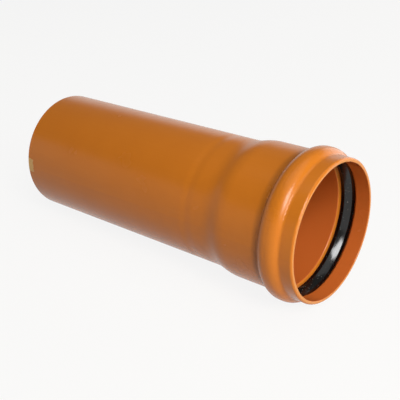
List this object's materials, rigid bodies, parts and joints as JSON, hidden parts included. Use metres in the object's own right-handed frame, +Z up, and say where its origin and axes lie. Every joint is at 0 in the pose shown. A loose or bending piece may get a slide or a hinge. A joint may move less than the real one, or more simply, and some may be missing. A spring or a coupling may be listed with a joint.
{
  "type": "drain pipe",
  "caption": "Short drain pipe with a plain spigot at one end and a belled push-fit socket at the other, whose rounded bead holds a rubber sealing ring.",
  "frame": {"origin": "centre of the bounding box on the floor the pipe lies on", "axes": "+X along the pipe towards the socket's mouth, +Z up. The pipe's axis rises 1.80 degrees towards +X, because it lies on its bead and on the lower edge of its spigot"},
  "size_m": [0.3074, 0.1276, 0.1276],
  "materials": {
    "pipe": "satin orange-brown rigid plastic",
    "sealing_ring": "smooth black rubber with a slight sheen"
  },
  "bodies": {
    "root": {"pipe": "pipe", "sealing_ring": "sealing_ring"}
  },
  "joints": []
}
